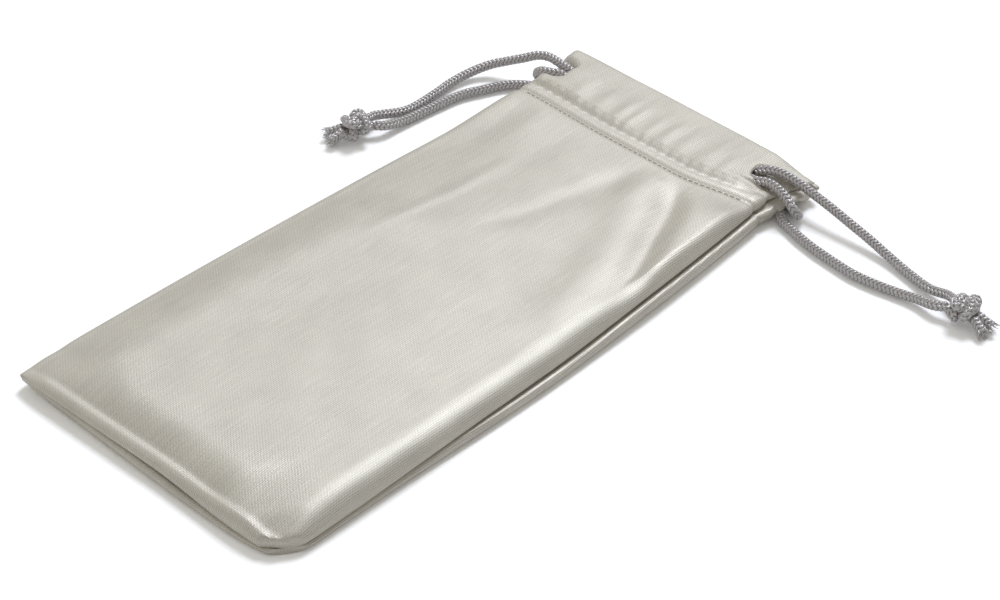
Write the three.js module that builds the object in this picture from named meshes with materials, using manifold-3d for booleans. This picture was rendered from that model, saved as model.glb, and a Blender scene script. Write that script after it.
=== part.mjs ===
// Drawstring pouch for eyeglasses, lying on its back panel with both drawcords run out to the sides.
// Millimetres. +Z up, +Y from the bottom seam to the mouth, +X to the right-hand side seam.
import * as THREE from "three";
import { mergeVertices } from "three/addons/utils/BufferGeometryUtils.js";
import Module from "manifold-3d";

// Sewn outline
const pouchLength = 180;
const bottomWidth = 87;
const hemWidth = 75;
const mouthWidth = 79;
const taperPower = 2.2;
const flarePower = 1.5;

// Cloth and seams
const clothThickness = 0.5;
const seamAllowance = 7;
const seamGap = 0.8;
const layerGap = 0.2;
const pressedShare = 0.5;
const bottomSeamHeight = 2.9;

// Swell of the front panel: a low rim along the bottom seam, then shoulders up to a flat top
const bodyHeight = 9;
const rimHeight = 5.9;
const rimWidth = 3.6;
const shoulderEnd = 20.5;
const leftShoulder = 3;
const leftRoll = 0.45;
const leftCrest = 0.82;
const rightRoll = 0.72;

// Hem at the mouth: the panel's end folded inwards and sewn down in two rows
const headerDepth = 16;
const hemBand = 6.5;
const bandPuff = 0.2;
const hemTurn = 1.5;
const hemLead = 4;
const mouthGap = 4.4;

// Slits that let the cords out of the hem
const slitFromHem = 6.2;
const rightSlitInset = 9;
const leftSlitInset = 5;
const slitMargin = 0.5;
const lipWidth = 0.8;
const rightPocket = 7;
const leftPocket = 18;
const pocketSlope = 6;

// Drawcords
const cordDiameter = 2.8;
const cordClearance = 0.2;
const flatCordHeight = 1.2;
const flatCordWidth = 3.8;
const laneGap = 0.9;
const cordSlack = 1.5;
const seatGap = 0.5;
const cordJointGap = 0.3;
const cordEntry = 1;
const crossingGap = 0.3;
const crossingLead = 3;
const tableGap = 0.1;
const cordSides = 8;
const legSteps = 11;
const bightSteps = 14;
const tailSteps = 2;

// Knots
const knotRadius = 4.2;
const knotTurnRadius = 2.75;
const knotCoreRadius = 3.2;
const knotGap = 0.4;
const tailLength = 4;
const rightKnotOut = 57.5;
const rightKnotBack = 3.4;
const leftKnotOut = 20.5;
const leftKnotBack = 49.5;

// Sewing thread
const threadDiameter = 0.4;
const threadClearance = 0.2;
const stitchLength = 3;
const stitchWave = 0.12;
const hemThreadInset = 5;
const seamThreadStart = 3;
const seamThreadStep = 6;
const seamCornerInset = 5;
const threadSides = 4;

// Finishes
const clothColour = 0xd2cfc6;
const threadColour = 0xc6c2b6;
const cordColour = 0x9a9593;
const clothRoughness = 0.55;
const threadRoughness = 0.6;
const cordRoughness = 0.7;

// Heights that follow from the layers: the seam plane clears a cord lying under the back panel's edge
const halfCloth = clothThickness / 2;
const cordRadius = cordDiameter / 2;
const seamPlane = 2 * clothThickness + 2 * cordClearance + cordDiameter + seamGap / 2;
const seamRise = seamGap / 2 + halfCloth;
const backRise = seamPlane - halfCloth;
const frontRise = bodyHeight - halfCloth - seamPlane;
const rimRise = rimHeight - halfCloth - seamPlane;
const rollRadius = (backRise - seamRise) / 2;
const channelHeight = flatCordHeight + 2 * cordClearance;
const hemStack = 2 * clothThickness + channelHeight;
const headerTop = 2 * hemStack + mouthGap;

// Places along the pouch
const bottomY = -pouchLength / 2 + halfCloth;
const mouthY = pouchLength / 2 - halfCloth;
const upperRowY = pouchLength / 2 - headerDepth;
const lowerRowY = upperRowY - hemBand;
const bodyEnd = lowerRowY - hemLead;
const slitY = upperRowY + slitFromHem;
const laneOffset = (cordDiameter + laneGap) / 2;
const slitHalf = laneOffset + cordRadius + slitMargin;

// Places across the pouch, at the slits
const edgeX = halfWidth(slitY);
const rightSlitX = edgeX - rightSlitInset;
const leftSlitX = leftSlitInset - edgeX;
const rightLip = rightSlitX - lipWidth / 2;
const leftLip = leftSlitX + lipWidth / 2;

const SIDES = { front: 1, back: -1 };
const wasm = await Module();
wasm.setup();

// Half the pouch's width at a height along it: it tapers up to the hem and flares a little to the mouth.
function halfWidth(y) {
  const up = (y - upperRowY) / headerDepth;
  if (up > 0) {
    return (hemWidth + (mouthWidth - hemWidth) * up ** flarePower) / 2;
  }
  const share = (y + pouchLength / 2) / (upperRowY + pouchLength / 2);
  return (hemWidth + (bottomWidth - hemWidth) * (1 - share ** taperPower)) / 2;
}

function mix(a, b, share) {
  return a + (b - a) * share;
}

// Height of the sewn edge: level along the hem, where cords pass under it, and falling to the bottom.
function seamHeight(y) {
  const down = THREE.MathUtils.clamp((bodyEnd - y) / (bodyEnd - bottomY), 0, 1);
  return mix(seamPlane, bottomSeamHeight, down);
}

// How far in from the edge a point of the edge roll lies, rolled up and pressed flat.
function rollInset(angle, rolled) {
  const flat = rollRadius * (angle + Math.PI / 2) * pressedShare;
  return mix(flat, rollRadius * (1 - Math.cos(angle)), rolled);
}

function rollShare(angle) {
  return (1 + Math.sin(angle)) / 2;
}

// Columns of a panel from its left side to its right: allowance, edge roll, slit lips, hem, and back again.
// A column's swell is its share of the front body's height.
function panelColumns() {
  const angles = [-90, -45, 0, 45, 90].map(THREE.MathUtils.degToRad);
  const edge = (side, swell) => [
    { kind: "allowance", side, share: 0, swell },
    ...angles.map((angle) => ({ kind: "roll", side, angle, share: rollShare(angle), swell })),
  ];
  const hem = [
    [leftLip, 1, leftCrest],
    [leftLip + leftShoulder, 1, 1],
    [leftLip + leftPocket, 1, 1],
    [leftLip + leftPocket + pocketSlope, 0, 1],
    [rightLip - rightPocket - pocketSlope, 0, 1],
    [rightLip - rightPocket, 1, 1],
    [rightLip, 1, 1],
  ].map(([x, pocket, swell]) => ({ kind: "hem", x, pocket, share: 1, swell }));
  return [
    ...edge(-1, leftRoll),
    { kind: "lip", x: leftLip - lipWidth, pocket: 1, share: 1, swell: leftCrest },
    ...hem,
    { kind: "lip", x: rightLip + lipWidth, pocket: 1, share: 1, swell: 1 },
    ...edge(1, rightRoll).reverse(),
  ];
}

// Rows of a panel from the bottom seam's allowance up to the mouth fold and down the hem's inner flap.
function panelRows({ edgeRise, bodyRise, headerRise, flapRise }) {
  const angles = [-90, -45, 0, 45, 90].map(THREE.MathUtils.degToRad);
  const stitchRise = flapRise + clothThickness + layerGap;
  const foldRadius = (headerRise - flapRise) / 2;
  const foldY = mouthY - foldRadius;
  const bodyStart = bottomY + shoulderEnd;
  const shoulderSteps = [1 / 3, 2 / 3];
  const bodySteps = [0, 0.2, 0.4, 0.6, 0.8, 1];
  const fold = [90, 45, 0, -45, -90].map(THREE.MathUtils.degToRad);
  return [
    { kind: "turning", y: bottomY + seamAllowance, rise: seamRise, share: 0 },
    ...angles.map((angle) => ({ kind: "bottom", angle, rise: edgeRise, share: rollShare(angle) })),
    { kind: "rim", y: bottomY + rimWidth, rise: edgeRise },
    ...shoulderSteps.map((step) => ({
      kind: "body",
      y: bottomY + mix(rimWidth, shoulderEnd, step),
      rise: mix(edgeRise, bodyRise, Math.sin((step * Math.PI) / 2)),
    })),
    ...bodySteps.map((step) => ({ kind: "body", y: mix(bodyStart, bodyEnd, step), rise: bodyRise })),
    { kind: "outer", y: lowerRowY, rise: stitchRise },
    { kind: "outer", y: (lowerRowY + upperRowY) / 2, rise: mix(bodyRise, headerRise, 0.5) - bandPuff },
    { kind: "outer", y: upperRowY, rise: stitchRise },
    { kind: "outer", y: slitY - slitHalf, rise: headerRise, slit: true },
    { kind: "outer", y: slitY + slitHalf, rise: headerRise, slit: true },
    ...fold.map((angle) => ({
      kind: "fold",
      y: foldY + foldRadius * Math.cos(angle),
      rise: flapRise + foldRadius * (1 + Math.sin(angle)),
    })),
    { kind: "flap", y: slitY + slitHalf, rise: flapRise, slit: true },
    { kind: "flap", y: slitY - slitHalf, rise: flapRise, slit: true },
    { kind: "flap", y: upperRowY, rise: flapRise },
    { kind: "flap", y: lowerRowY, rise: flapRise },
    { kind: "flap", y: lowerRowY - hemTurn, rise: flapRise },
  ];
}

// Where a point of the cloth's middle surface lies. Outboard of a slit the panel is pressed to the seam.
function placeOnPanel(side, column, row) {
  const pressed = row.slit && column.kind !== "hem" ? 0 : 1;
  const rowShare = row.share ?? 1;
  const inBody = row.kind === "bottom" || row.kind === "rim" || row.kind === "body";
  const swell = inBody && side === SIDES.front ? column.swell : 1;
  const outer = row.kind === "flap" && row.slit ? mix(row.rise, seamRise, column.pocket ?? 1) : row.rise;
  const y = row.kind === "bottom" ? bottomY + rollInset(row.angle, column.share) : row.y;
  const seam = seamHeight(y) + side * seamRise;
  const z = mix(seam, seamPlane + side * outer, column.share * rowShare * pressed * swell);
  const reach = halfWidth(y) - halfCloth;
  let x;
  if (column.kind === "allowance") {
    x = column.side * (reach - seamAllowance);
  } else if (column.kind === "roll") {
    x = column.side * (reach - rollInset(column.angle, rowShare * pressed));
  } else {
    x = column.x * ((reach - 2 * rollRadius) / (edgeX - halfCloth - 2 * rollRadius));
  }
  return new THREE.Vector3(x, y, z);
}

// Which cells of the grid are cloth: trimmed allowances, the hem's flap between the slits, and the slits.
function isCloth(left, right, low, high) {
  const kinds = [left.kind, right.kind];
  const inHem = left.kind === "hem" && right.kind === "hem";
  const inFold = !kinds.includes("roll") && !kinds.includes("allowance");
  if (low.kind === "turning" || high.kind === "turning") {
    return inFold;
  }
  if (high.kind === "flap") {
    return inHem;
  }
  if (low.kind === "fold") {
    return inFold;
  }
  if (kinds.includes("allowance")) {
    return low.kind === "body" && high.kind === "body";
  }
  const isLip = kinds.includes("lip") && kinds.includes("hem");
  return !(low.slit && high.slit && isLip);
}

// A closed solid of cloth: the grid's middle surface thickened half the cloth each way, with its edges walled.
function clothSolid(columns, rows, place) {
  const width = columns.length;
  const middle = rows.flatMap((row) => columns.map((column) => place(column, row)));
  const normals = middle.map(() => new THREE.Vector3());
  const cells = [];
  for (let j = 0; j + 1 < rows.length; j += 1) {
    for (let i = 0; i + 1 < width; i += 1) {
      if (isCloth(columns[i], columns[i + 1], rows[j], rows[j + 1])) {
        const a = j * width + i;
        cells.push([a, a + 1, a + 1 + width, a + width]);
      }
    }
  }
  for (const cell of cells) {
    const [a, b, c, d] = cell.map((index) => middle[index]);
    const normal = c.clone().sub(a).cross(d.clone().sub(b)).normalize();
    cell.forEach((index) => normals[index].add(normal));
  }
  const used = [...new Set(cells.flat())].sort((p, q) => p - q);
  const order = new Map(used.map((index, k) => [index, 2 * k]));
  const positions = [];
  for (const index of used) {
    const offset = normals[index].normalize().multiplyScalar(halfCloth);
    positions.push(...middle[index].clone().add(offset).toArray());
    positions.push(...middle[index].clone().sub(offset).toArray());
  }
  const out = (index) => order.get(index);
  const inn = (index) => order.get(index) + 1;
  const walked = new Set(cells.flatMap((cell) => cell.map((a, k) => `${a}>${cell[(k + 1) % 4]}`)));
  const faces = [];
  for (const cell of cells) {
    const [a, b, c, d] = cell;
    faces.push([out(a), out(b), out(c)], [out(a), out(c), out(d)]);
    faces.push([inn(a), inn(c), inn(b)], [inn(a), inn(d), inn(c)]);
    cell.forEach((p, k) => {
      const q = cell[(k + 1) % 4];
      if (!walked.has(`${q}>${p}`)) {
        faces.push([out(q), out(p), inn(p)], [out(q), inn(p), inn(q)]);
      }
    });
  }
  return closedGeometry(positions, faces);
}

// An indexed geometry whose faces point out, whichever way round they were listed.
function closedGeometry(positions, faces) {
  const corner = (index) => new THREE.Vector3().fromArray(positions, 3 * index);
  const volume = faces.reduce((sum, [a, b, c]) => sum + corner(a).dot(corner(b).cross(corner(c))), 0);
  const outward = volume > 0 ? faces : faces.map(([a, b, c]) => [a, c, b]);
  const geometry = new THREE.BufferGeometry();
  geometry.setAttribute("position", new THREE.Float32BufferAttribute(positions, 3));
  geometry.setIndex(outward.flat());
  geometry.computeVertexNormals();
  return geometry;
}

// How far a panel's rim, body and header stand off the seam plane.
function panelRises(side) {
  if (side === SIDES.front) {
    return { edgeRise: rimRise, bodyRise: frontRise, headerRise: headerTop - halfCloth - seamPlane };
  }
  return { edgeRise: backRise, bodyRise: backRise, headerRise: backRise };
}

function panel(side) {
  const rises = panelRises(side);
  const flapRise = rises.headerRise - channelHeight - clothThickness;
  const place = (column, row) => placeOnPanel(side, column, row);
  return clothSolid(panelColumns(), panelRows({ ...rises, flapRise }), place);
}

// A regular outline for the section of a cord or thread.
function ringShape(radius, sides) {
  const points = [];
  for (let k = 0; k < sides; k += 1) {
    const angle = (2 * Math.PI * (k + 0.5)) / sides;
    points.push(new THREE.Vector2(radius * Math.cos(angle), radius * Math.sin(angle)));
  }
  return new THREE.Shape(points);
}

// A round cord along a smooth curve through its route's points.
function roundCord(route, steps) {
  const extrudePath = new THREE.CatmullRomCurve3(route.map((point) => new THREE.Vector3(...point)));
  return new THREE.ExtrudeGeometry(ringShape(cordRadius, cordSides), { steps, extrudePath, bevelEnabled: false });
}

// A cord lying in the hem, given by stations across the pouch: place, half width and half height.
function flatCord(stations) {
  const positions = [];
  const faces = [];
  stations.forEach(({ x, y, z, wide, high }) => {
    for (let k = 0; k < cordSides; k += 1) {
      const angle = (2 * Math.PI * (k + 0.5)) / cordSides;
      positions.push(x, y + wide * Math.cos(angle), z + high * Math.sin(angle));
    }
  });
  for (let j = 0; j + 1 < stations.length; j += 1) {
    for (let k = 0; k < cordSides; k += 1) {
      const a = j * cordSides + k;
      const b = j * cordSides + ((k + 1) % cordSides);
      faces.push([a, b, b + cordSides], [a, b + cordSides, a + cordSides]);
    }
  }
  const last = (stations.length - 1) * cordSides;
  for (let k = 1; k + 1 < cordSides; k += 1) {
    faces.push([0, k + 1, k], [last, last + k, last + k + 1]);
  }
  return closedGeometry(positions, faces);
}

// Lanes of the two cords in the hem: side by side at a slit, flattened and wider between the slits.
const slitLanes = { mouth: slitY + laneOffset, hem: slitY - laneOffset };
const flatLaneOffset = (flatCordWidth + laneGap) / 2;
const flatLanes = { mouth: slitY + flatLaneOffset, hem: slitY - flatLaneOffset };

// Heights of a cord at a slit, between the slits, and where the two cords cross.
function cordHeights(side) {
  if (side === SIDES.front) {
    const web = seamPlane + seamRise + halfCloth;
    const low = web + crossingGap + flatCordHeight / 2;
    return {
      slit: web + cordClearance + cordRadius,
      flat: headerTop - clothThickness - cordClearance - flatCordHeight / 2,
      low,
      high: low + flatCordHeight + crossingGap,
    };
  }
  const low = clothThickness + crossingGap + flatCordHeight / 2;
  return {
    slit: clothThickness + cordClearance + cordRadius,
    flat: clothThickness + cordClearance + flatCordHeight / 2,
    low,
    high: low + flatCordHeight + crossingGap,
  };
}

// One cord's run through the hem from its right slit to its left one. It changes lane in the left pocket.
function hemRun(side, rightLane, crossing) {
  const leftLane = rightLane === "mouth" ? "hem" : "mouth";
  const heights = cordHeights(side);
  const round = { wide: cordRadius, high: cordRadius, z: heights.slit };
  const flat = { wide: flatCordWidth / 2, high: flatCordHeight / 2, z: heights.flat };
  const crossed = { wide: cordRadius + crossingGap / 2, high: flatCordHeight / 2, z: heights[crossing] };
  const start = rightLip - cordEntry - cordJointGap;
  const end = leftLip + cordEntry + cordJointGap;
  const pocketRight = rightLip - rightPocket;
  const pocketLeft = leftLip + leftPocket;
  return flatCord([
    { ...round, x: start, y: slitLanes[rightLane] },
    { ...round, x: pocketRight + crossingLead, y: slitLanes[rightLane] },
    { ...flat, x: pocketRight - pocketSlope + cordSlack, y: flatLanes[rightLane] },
    { ...flat, x: pocketLeft + pocketSlope - cordSlack, y: flatLanes[rightLane] },
    { ...crossed, x: pocketLeft - crossingLead, y: flatLanes[rightLane] },
    { ...crossed, x: end + 2 * crossingLead, y: slitLanes[leftLane] },
    { ...crossed, x: end + crossingLead, y: slitLanes[leftLane] },
    { ...round, x: end, y: slitLanes[leftLane] },
  ]);
}

// A cord's bight round the far edge of the pouch, out of the front slit and into the back one.
function bight(sign, lip) {
  const front = cordHeights(SIDES.front).slit;
  const back = cordHeights(SIDES.back).slit;
  const bend = (front - back) / 2;
  const bendX = edgeX + cordSlack + seatGap + cordRadius - bend;
  const inside = Math.abs(lip) - cordEntry;
  const turn = [90, 60, 30, 0, -30, -60, -90].map(THREE.MathUtils.degToRad);
  const route = [
    [inside, slitLanes.hem, front],
    [inside + cordDiameter, slitLanes.hem, front],
    ...turn.map((angle) => [
      bendX + bend * Math.cos(angle),
      mix(slitLanes.mouth, slitLanes.hem, rollShare(angle)),
      (front + back) / 2 + bend * Math.sin(angle),
    ]),
    [inside + cordDiameter, slitLanes.mouth, back],
    [inside, slitLanes.mouth, back],
  ];
  return roundCord(route.map(([x, y, z]) => [sign * x, y, z]), bightSteps);
}

// A leg of a cord from its slit to its knot. Its points give the way out from the pouch's side edge,
// the way along from the slit's middle, and the height of the cord's centre.
function leg(sign, side, lip, points, knotCentre, knotSide) {
  const height = cordHeights(side).slit;
  const lane = side === SIDES.front ? slitLanes.mouth : slitLanes.hem;
  const inside = Math.abs(lip) - cordEntry;
  const end = knotRadius + knotGap;
  const route = [
    [sign * inside, lane, height],
    [sign * (inside + cordDiameter), lane, height],
    [sign * edgeX, lane, height],
    ...points.map(([out, along, z]) => [sign * (edgeX + out), slitY + along, z]),
    knotPoint(knotCentre, knotSide, end + cordDiameter),
    knotPoint(knotCentre, knotSide, end),
  ];
  return roundCord(route, legSteps);
}

// A short tail of cord that lies out of the knot.
function tail(knotCentre, knotSide, reach) {
  const end = knotRadius + knotGap;
  const start = knotPoint(knotCentre, knotSide, end);
  const [x, y] = knotPoint(knotCentre, knotSide, end + reach);
  return roundCord([start, [x, y, cordRadius + tableGap]], tailSteps);
}

// A point a given distance from a knot's centre.
function knotPoint(centre, direction, distance) {
  return new THREE.Vector3(...direction).setLength(distance).add(new THREE.Vector3(...centre)).toArray();
}

// A knot of both cord ends together: turns of cord drawn tight round a core.
function knot(centre) {
  const turn = new THREE.TorusGeometry(knotTurnRadius, knotRadius - knotTurnRadius, 6, 12);
  const turns = [
    [0, 0, 0],
    [Math.PI / 3, 0, 0],
    [Math.PI / 3, Math.PI / 2, Math.PI / 4],
  ];
  let solid = manifoldOf(new THREE.SphereGeometry(knotCoreRadius, 10, 7));
  for (const [a, b, c] of turns) {
    const turned = turn.clone().rotateX(a).rotateY(b).rotateZ(c);
    solid = solid.add(manifoldOf(turned));
  }
  const mesh = solid.getMesh();
  const geometry = new THREE.BufferGeometry();
  geometry.setAttribute("position", new THREE.BufferAttribute(new Float32Array(mesh.vertProperties), 3));
  geometry.setIndex(new THREE.BufferAttribute(new Uint32Array(mesh.triVerts), 1));
  geometry.computeVertexNormals();
  return geometry.translate(...centre);
}

function manifoldOf(geometry) {
  const plain = geometry.clone();
  plain.deleteAttribute("normal");
  plain.deleteAttribute("uv");
  const merged = mergeVertices(plain, 1e-4);
  return new wasm.Manifold(
    new wasm.Mesh({
      numProp: 3,
      vertProperties: new Float32Array(merged.attributes.position.array),
      triVerts: new Uint32Array(merged.index.array),
    }),
  );
}

// The thread of one hem row, lying in the row's groove and rising at each stitch.
function hemThread(side, y) {
  const groove = panelRises(side).headerRise - channelHeight + layerGap + halfCloth;
  const lift = groove + threadClearance + threadDiameter / 2 + stitchWave;
  const reach = halfWidth(y) - hemThreadInset;
  const count = Math.round((2 * reach) / stitchLength) * 2;
  const stations = [];
  for (let k = 0; k <= count; k += 1) {
    const wave = k % 2 ? stitchWave : -stitchWave;
    stations.push(new THREE.Vector3(mix(-reach, reach, k / count), y, seamPlane + side * (lift + wave)));
  }
  return threadSolid(stations, new THREE.Vector3(0, 1, 0));
}

// The seam's thread, sewn in one run down the left side, along the bottom and up the right side.
function seamThread() {
  const inset = halfCloth + rollRadius;
  const low = bottomY + rollRadius;
  const top = mouthY - seamThreadStart;
  const sideSteps = Math.round((top - low) / seamThreadStep);
  const right = [];
  for (let k = 0; k <= sideSteps; k += 1) {
    const y = mix(low + seamCornerInset, top, k / sideSteps);
    right.push(new THREE.Vector3(halfWidth(y) - inset, y, seamHeight(y)));
  }
  const left = right.map((point) => new THREE.Vector3(-point.x, point.y, point.z)).reverse();
  const cornerX = halfWidth(low) - inset - seamCornerInset;
  const ends = [-cornerX, cornerX].map((x) => new THREE.Vector3(x, low, seamHeight(low)));
  return threadSolid([...left, ...ends, ...right], new THREE.Vector3(0, 0, 1));
}

// A thin closed tube through stations, with its section turned the same way all along.
function threadSolid(stations, upright) {
  const positions = [];
  const faces = [];
  stations.forEach((point, j) => {
    const before = stations[Math.max(j - 1, 0)];
    const after = stations[Math.min(j + 1, stations.length - 1)];
    const along = after.clone().sub(before).normalize();
    const across = along.clone().cross(upright).normalize();
    for (let k = 0; k < threadSides; k += 1) {
      const angle = (2 * Math.PI * (k + 0.5)) / threadSides;
      const corner = across.clone().multiplyScalar(Math.cos(angle)).addScaledVector(upright, Math.sin(angle));
      positions.push(...corner.multiplyScalar(threadDiameter / 2).add(point).toArray());
    }
    for (let k = 0; j > 0 && k < threadSides; k += 1) {
      const a = (j - 1) * threadSides + k;
      const b = (j - 1) * threadSides + ((k + 1) % threadSides);
      faces.push([a, b, b + threadSides], [a, b + threadSides, a + threadSides]);
    }
  });
  const last = (stations.length - 1) * threadSides;
  for (let k = 1; k + 1 < threadSides; k += 1) {
    faces.push([0, k + 1, k], [last, last + k, last + k + 1]);
  }
  return closedGeometry(positions, faces);
}

// Routes of the free legs: way out from the side edge, way along from the slit's middle, height
const rightFrontRoute = [
  [6, 2.2, 6.9],
  [10.8, 2.8, 6],
  [17, 3.6, 4.4],
  [24, 3.9, 2.9],
  [31, 2.8, 1.8],
  [39, 0.7, 1.5],
  [45.4, -0.8, 1.9],
];
const rightBackRoute = [
  [2.4, -2.7, 1.8],
  [5.4, -3.9, 1.5],
  [9, -4.8, 1.5],
  [15.3, -6.6, 1.5],
  [22, -7.8, 1.5],
  [28, -8.5, 1.5],
  [34, -8, 1.5],
  [40, -6.9, 1.5],
  [45.4, -6, 1.9],
];
const leftFrontRoute = [
  [2.9, 1.7, 7.75],
  [5.7, 0.7, 7.65],
  [9, -1.6, 6.2],
  [12.6, -3.9, 4.7],
  [15.8, -6.4, 3.4],
  [18.3, -11, 2.2],
  [19.2, -17.4, 1.6],
  [18.7, -24, 1.5],
  [18.8, -33.8, 1.5],
];
const leftBackRoute = [
  [2.4, -2.7, 1.8],
  [5.2, -4.4, 1.5],
  [8.4, -7.6, 1.5],
  [11.6, -14.3, 1.5],
  [13.7, -19.4, 1.5],
  [14.7, -26, 1.5],
  [15.4, -32.6, 1.5],
  [16, -38.6, 1.8],
];
const knotHeight = knotRadius + tableGap;
const rightKnot = [edgeX + rightKnotOut, slitY - rightKnotBack, knotHeight];
const leftKnot = [-edgeX - leftKnotOut, slitY - leftKnotBack, knotHeight];

// The assembled pouch
const pouch = new THREE.Group();

function addPiece(name, geometry, color, roughness) {
  const mesh = new THREE.Mesh(geometry, new THREE.MeshStandardMaterial({ color, roughness, metalness: 0 }));
  mesh.name = name;
  pouch.add(mesh);
}

addPiece("front_panel", panel(SIDES.front), clothColour, clothRoughness);
addPiece("back_panel", panel(SIDES.back), clothColour, clothRoughness);
addPiece("seam_thread", seamThread(), threadColour, threadRoughness);
for (const [name, side] of Object.entries(SIDES)) {
  addPiece(`${name}_hem_upper_thread`, hemThread(side, upperRowY), threadColour, threadRoughness);
  addPiece(`${name}_hem_lower_thread`, hemThread(side, lowerRowY), threadColour, threadRoughness);
}

const cords = [
  {
    name: "right_cord",
    sign: 1,
    lips: [rightLip, leftLip],
    lanes: { front: "mouth", back: "hem" },
    crossing: "low",
    routes: { front: rightFrontRoute, back: rightBackRoute },
    knot: rightKnot,
    ends: { front: [-0.92, 0.36, -0.2], back: [-0.92, -0.36, -0.2] },
    tails: { front: [0.99, 0.1, -0.25], back: [0.8, -0.6, -0.25] },
  },
  {
    name: "left_cord",
    sign: -1,
    lips: [leftLip, rightLip],
    lanes: { front: "hem", back: "mouth" },
    crossing: "high",
    routes: { front: leftFrontRoute, back: leftBackRoute },
    knot: leftKnot,
    ends: { front: [-0.15, 0.95, -0.2], back: [0.53, 0.82, -0.2] },
    tails: { front: [-0.64, -0.73, -0.25], back: [0.02, -0.97, -0.25] },
  },
];

for (const cord of cords) {
  const [ownLip, farLip] = cord.lips;
  for (const [name, side] of Object.entries(SIDES)) {
    const route = leg(cord.sign, side, ownLip, cord.routes[name], cord.knot, cord.ends[name]);
    addPiece(`${cord.name}_${name}_leg`, route, cordColour, cordRoughness);
    const run = hemRun(side, cord.lanes[name], cord.crossing);
    addPiece(`${cord.name}_${name}_run`, run, cordColour, cordRoughness);
    addPiece(`${cord.name}_${name}_tail`, tail(cord.knot, cord.tails[name], tailLength), cordColour, cordRoughness);
  }
  addPiece(`${cord.name}_bight`, bight(-cord.sign, farLip), cordColour, cordRoughness);
  addPiece(`${cord.name}_knot`, knot(cord.knot), cordColour, cordRoughness);
}

export default pouch;
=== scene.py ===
"""A drawstring eyeglass pouch in satin microfibre with two braided cords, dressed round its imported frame."""

import math
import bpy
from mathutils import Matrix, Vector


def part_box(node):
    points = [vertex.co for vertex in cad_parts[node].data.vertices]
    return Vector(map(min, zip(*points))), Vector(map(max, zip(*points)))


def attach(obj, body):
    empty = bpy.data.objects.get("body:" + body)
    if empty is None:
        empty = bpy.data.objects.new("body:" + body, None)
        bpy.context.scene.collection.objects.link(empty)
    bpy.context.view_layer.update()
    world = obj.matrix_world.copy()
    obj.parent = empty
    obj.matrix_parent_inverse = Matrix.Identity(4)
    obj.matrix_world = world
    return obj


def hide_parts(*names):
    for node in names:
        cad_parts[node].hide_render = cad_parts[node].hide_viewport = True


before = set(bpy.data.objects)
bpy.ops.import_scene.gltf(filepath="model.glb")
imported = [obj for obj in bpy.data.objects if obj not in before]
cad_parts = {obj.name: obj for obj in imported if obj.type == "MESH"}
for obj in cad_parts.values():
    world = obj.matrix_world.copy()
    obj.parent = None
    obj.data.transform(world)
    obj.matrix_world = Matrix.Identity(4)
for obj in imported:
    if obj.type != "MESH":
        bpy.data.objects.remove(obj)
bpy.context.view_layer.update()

from types import SimpleNamespace

import bpy
import numpy as np
from mathutils import Vector

PANEL_LOW, PANEL_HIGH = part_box("front_panel")

bl_info = {
    "name": "Drawstring eyeglass pouch",
    "version": (1, 0, 0),
    "blender": (4, 5, 0),
    "location": "View3D > Sidebar > Pouch",
    "description": "Dresses the packed pouch in knitted cloth, stitches and braided cords",
    "category": "Object",
}

MM = 0.001

# Camera, found from the pouch's four corners: angles in degrees, distances in mm
CAMERA_AZIMUTH = 43.92
CAMERA_ELEVATION = 37.87
CAMERA_DISTANCE = 816
CAMERA_TARGET = (12.33, 8.53, 0)
CAMERA_LENS = 126
CAMERA_SENSOR = 36

# Heights of the lying pouch, in mm: the tops of its body and hem, its rim and its underside
BODY_TOP = 8
HEM_TOP = 7.3
HEADER_PUFF = 1.05
RIM_TOP = 5.6
UNDERSIDE = 0.1

# Outline of the panels, in mm: how far edges round over (1 front, -1 back) and curl in to the seam
TAPER_POWER = 2.2
FLARE_POWER = 1.5
ROUNDS = {
    1: SimpleNamespace(left=2.6, right=6.2, bottom=2.2, left_hem=2.6, right_hem=3.2),
    -1: SimpleNamespace(left=2.2, right=2.4, bottom=2.2, left_hem=2.2, right_hem=2.4),
}
CURL_IN = 1.2
CURL_RISE = 1.2
ROW_PINCH = 0.14
ROLL_RINGS = 20
GRID_COLUMNS = 125
ALLOWANCE = 4
RIGHT_CORNER_CUT = 5
LEFT_CORNER_CUT = 0.8
CORNER_SLANT = 0.7

# Hem, slits and mouth, in mm
FOLD_RADIUS = 1.2
FOLD_STEPS = 6
FLAP_STEP = 1.5
HEM_STACK = 2.6
SCALLOP = 3.2
SLIT_FROM_UPPER_ROW = 7.6
SLIT_HALF = 3.2
SLIT_LIP = 0.8
RIGHT_SLIT = 28.4
LEFT_SLIT = -32.58
CORD_BED = 5.6
BACK_CORD_BED = 3.1

# The slanting hollow of the front below the hem, in mm: line, depth, rise on its right, half-widths
HOLLOW = [
    (43, -4), (40, 8), (37, 20), (34.4, 30), (31, 38), (27.6, 45), (24.4, 52), (21.2, 58), (17.8, 64),
    (14.5, 70), (12.5, 76),
]
HOLLOW_DEPTH = 0.9
HOLLOW_RISE = 2.2
HOLLOW_LEFT = 3.8
HOLLOW_RIGHT = 3.5
# Long soft folds of the front: line, place right of the line, half-width, rise
FOLDS = [
    ([(-21.5, -4), (-20.9, 3.9), (-19.2, 13.9), (-18, 26.2), (-17.4, 39.4), (-17.6, 48)], -1, 2, 0.2),
    ([(-9.5, 14), (-6.7, 21.5), (-2.6, 30.9), (0.8, 48.2), (2.3, 57.2), (4.2, 65.9)], 3.5, 3, -0.26),
    (HOLLOW, -8, 6, 0.7),
]
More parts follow.
